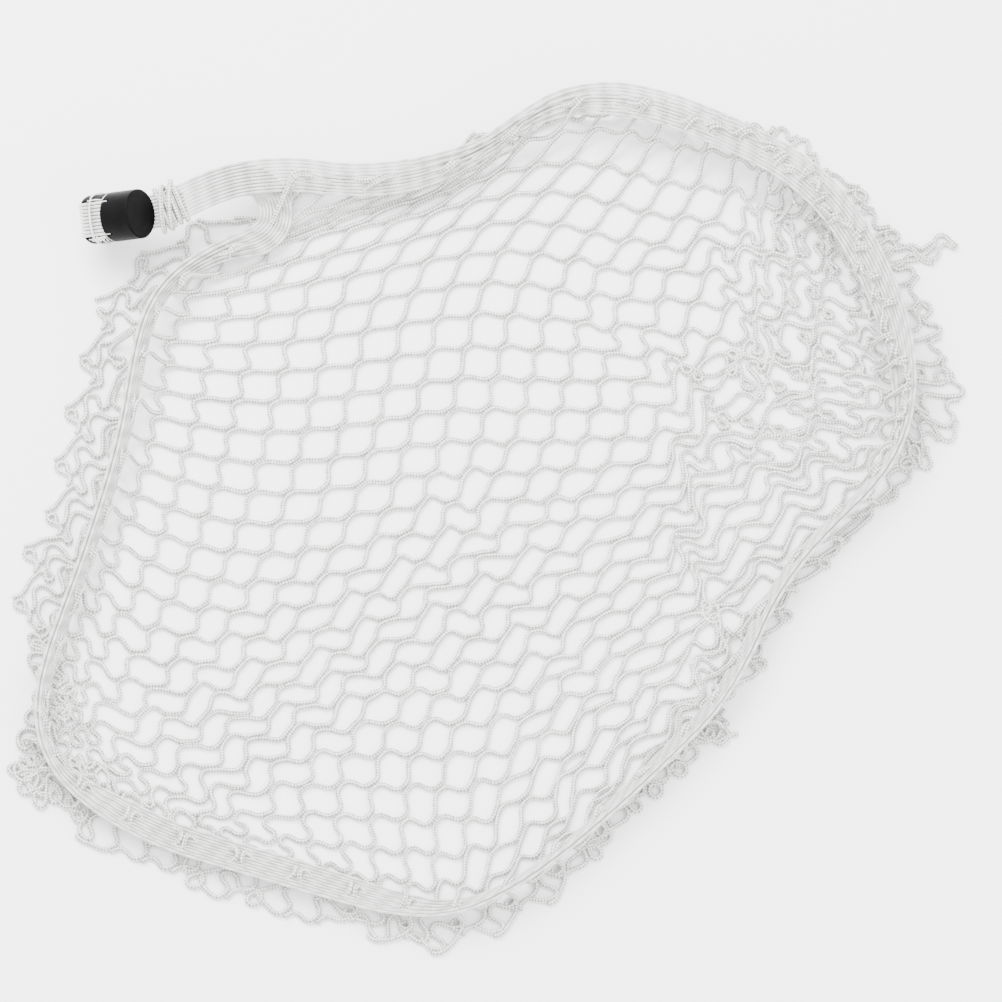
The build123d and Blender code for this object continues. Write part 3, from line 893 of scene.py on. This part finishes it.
def rounded(points, per_run=6):
    """Quadratic B-spline: it touches the middle of every run between the points."""
    points = np.asarray(points, float)
    middle = np.concatenate([points[:1], (points[1:-2] + points[2:-1]) / 2, points[-1:]])
    t = (np.arange(per_run) / per_run)[None, :, None]
    a, b, c = middle[:-1, None], points[1:-1, None], middle[1:, None]
    runs = (1 - t)**2 * a + 2 * t * (1 - t) * b + t**2 * c
    return np.concatenate([runs.reshape(-1, 3), points[-1:]])


GROOVE_FLOOR_R, FLAT, THREAD_R = 23.0, 15.4, 0.6
groove_at = HOME_AT - 0.3 - 0.8
half_open = math.degrees(math.acos(FLAT / GROOVE_FLOOR_R))
angle = np.radians(np.linspace(90 + half_open + 2, 450 - half_open - 2, 80))
in_groove = on_barrel(np.full(80, groove_at), (GROOVE_FLOOR_R + THREAD_R) * np.sin(angle),
                      (GROOVE_FLOOR_R + THREAD_R) * np.cos(angle))
tail_a = rounded(np.concatenate([in_groove[-1:], on_barrel(
    [groove_at - 1, groove_at - 4, groove_at - 9, groove_at - 13, groove_at - 15],
    [17.2, 17.6, 17.4, 18.3, 19.3], [18.6, 19.0, 19.4, 18.6, 18.9])]))
tail_b = rounded(np.concatenate([in_groove[:1], on_barrel(
    [groove_at - 1, groove_at - 3, groove_at - 6, groove_at - 8], [17.2, 17.6, 17.0, 17.9],
    [-18.6, -19.0, -20, -19.4])]))
seam_line = np.concatenate([tail_b[::-1], in_groove[1:-1], tail_a])
seam = cord_mesh("thread_seam", [seam_line * MM], THREAD_R * MM, 8, thread_finish)
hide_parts("seam_thread")

eight = [(25.6, 9), (18, 20.5), (-18, 20.5), (-25.6, 9), (-25.6, -12), (-13, -29.6),
         (13, -29.6), (25.6, -12)]
bound = rounded(winding(eight, 2, 1.3, -18.5, 0.1))
binding = cord_mesh("thread_binding", [bound * MM], THREAD_R * MM, 8, thread_finish)
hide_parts("nose_binding")

# Cut yarn ends stick out below the strands, where the thread is tied off.
YARN_ENDS = 26
tuft_paths = []
for _ in range(YARN_ENDS):
    root = np.array([rng.uniform(-20, -4), rng.uniform(15.9, 17.4), rng.uniform(-20.5, -17.5)])
    lean = np.array([rng.normal(0, 1.8), rng.uniform(0.2, 1.6), rng.uniform(-2.4, -0.6)])
    curl = rng.normal(0, 0.9, 3)
    steps = np.linspace(0, 1, 6)[:, None]
    place = root + lean * steps * 1.6 + curl * steps**2
    tuft_paths.append(on_barrel(place[:, 0], place[:, 1], place[:, 2]) * MM)
tuft = cord_mesh("thread_tuft", tuft_paths, 0.45 * MM, 6, thread_finish)
for piece in (seam, binding, tuft):
    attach(piece, "root")

# %% [markdown]
# Beside the barrel, a length of net twine is wrapped round both layers of the neck and
# knotted. It is the same spiral as the binding, round a flatter section, with each turn
# leaning its own way, and a second length crosses over it.

# %% Lashing of the neck
neck_start = neck_line[0] + down[0] * LAYER / 2
neck_heading = unit(neck_line[1] - neck_line[0])
lash_side = unit(barrel_across + neck_side[0])
neck_normal = unit(np.cross(neck_heading, lash_side))
neck_normal = neck_normal * np.sign(neck_normal[2])
run_long = float(np.linalg.norm(neck_line[1] - neck_line[0]))
print("first run of the neck, mm", round(run_long, 1))
half_wide, half_high = 4.5 * PITCH + STRAND_D / 2 + TWINE_R, LAYER / 2 + STRAND_D / 2 + TWINE_R


def wrap(start, step, turns, lean, spread):
    """A spiral round the neck: six places a turn, the two faces' turns leaning by lean mm."""
    face = [(1.12, 0.0, 0), (0.55, 1.25, lean), (-0.55, 1.25, 2 * lean), (-1.12, 0.0, 2 * lean),
            (-0.55, -1.25, lean), (0.55, -1.25, 0)]
    places = np.tile(np.array(face, float), (turns, 1))
    along = start + step * np.arange(len(places)) / len(face) + places[:, 2]
    along = along + rng.normal(0, 0.5, len(along))
    return rounded(neck_start + neck_heading * along[:, None]
                   + lash_side * (places[:, 0] * (half_wide + spread))[:, None]
                   + neck_normal * (places[:, 1] * (half_high + spread))[:, None])


lash_paths = [wrap(0.14 * run_long, 6.2, 4, 1.6, 0.0),
              wrap(0.8 * run_long, -9.0, 2, -3.0, 2.6)]
lashing = cord_mesh("twine_lashing", [path * MM for path in lash_paths], TWINE_R * MM, 8,
                    twine_finish)
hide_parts("neck_lashing")
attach(lashing, "root")

# %% [markdown]
# The net lies on a plain pale floor. Two large soft lights and a bright surround keep its
# shadows faint, so that white twine still reads on a white floor, by the grey along its
# sides and in its braid. The camera looks down at 65 degrees through a long lens.

# %% Floor, lights and camera
span = 12.0
floor_mesh = bpy.data.meshes.new("floor")
floor_mesh.from_pydata([(-span, -span, 0), (span, -span, 0), (span, span, 0), (-span, span, 0)],
                       [], [(0, 1, 2, 3)])
floor = bpy.data.objects.new("floor", floor_mesh)
bpy.context.scene.collection.objects.link(floor)
paint, tree, shader = finish_material("matt_white_paint", Roughness=0.9, Specular_IOR_Level=0.1)
mottle = node(tree, "ShaderNodeTexNoise", {"Scale": 6.0, "Detail": 2.0})
tone = node(tree, "ShaderNodeValToRGB", {0: mottle.outputs[0]})
tone.color_ramp.elements[0].color = srgb("#FBFBFB")
tone.color_ramp.elements[1].color = srgb("#FDFDFD")
tree.links.new(tone.outputs[0], shader.inputs["Base Color"])
floor_mesh.materials.append(paint)

world = bpy.data.worlds.new("studio")
world.use_nodes = True
world.node_tree.nodes["Background"].inputs["Color"].default_value = srgb("#FFFFFF")
world.node_tree.nodes["Background"].inputs["Strength"].default_value = 3.4
bpy.context.scene.world = world


def soft_light(name, place, size, power):
    """A square area light that faces the middle of the net."""
    lamp = bpy.data.lights.new(name, "AREA")
    lamp.size, lamp.energy = size, power
    made = bpy.data.objects.new(name, lamp)
    bpy.context.scene.collection.objects.link(made)
    made.location = place
    toward = -np.array(place, float)
    made.rotation_euler = (math.acos(-toward[2] / np.linalg.norm(toward)), 0,
                           math.atan2(-toward[0], toward[1]))
    return made


soft_light("key", (-1.2, 1.6, 2.6), 2.4, 260)
soft_light("fill", (2.2, -1.6, 2.2), 2.8, 100)

ELEVATION, AWAY, VIEW_WIDTH = math.radians(65), 30.0, 1.002
aim = np.array([-0.006, -0.001 / math.sin(ELEVATION), 0.0])
lens = bpy.data.cameras.new("camera")
lens.sensor_width = 36
lens.lens = 36 * AWAY / VIEW_WIDTH
lens.clip_end = 100
camera = bpy.data.objects.new("camera", lens)
bpy.context.scene.collection.objects.link(camera)
camera.location = aim + AWAY * np.array([0, -math.cos(ELEVATION), math.sin(ELEVATION)])
camera.rotation_euler = (math.pi / 2 - ELEVATION, 0, 0)
bpy.context.scene.camera = camera
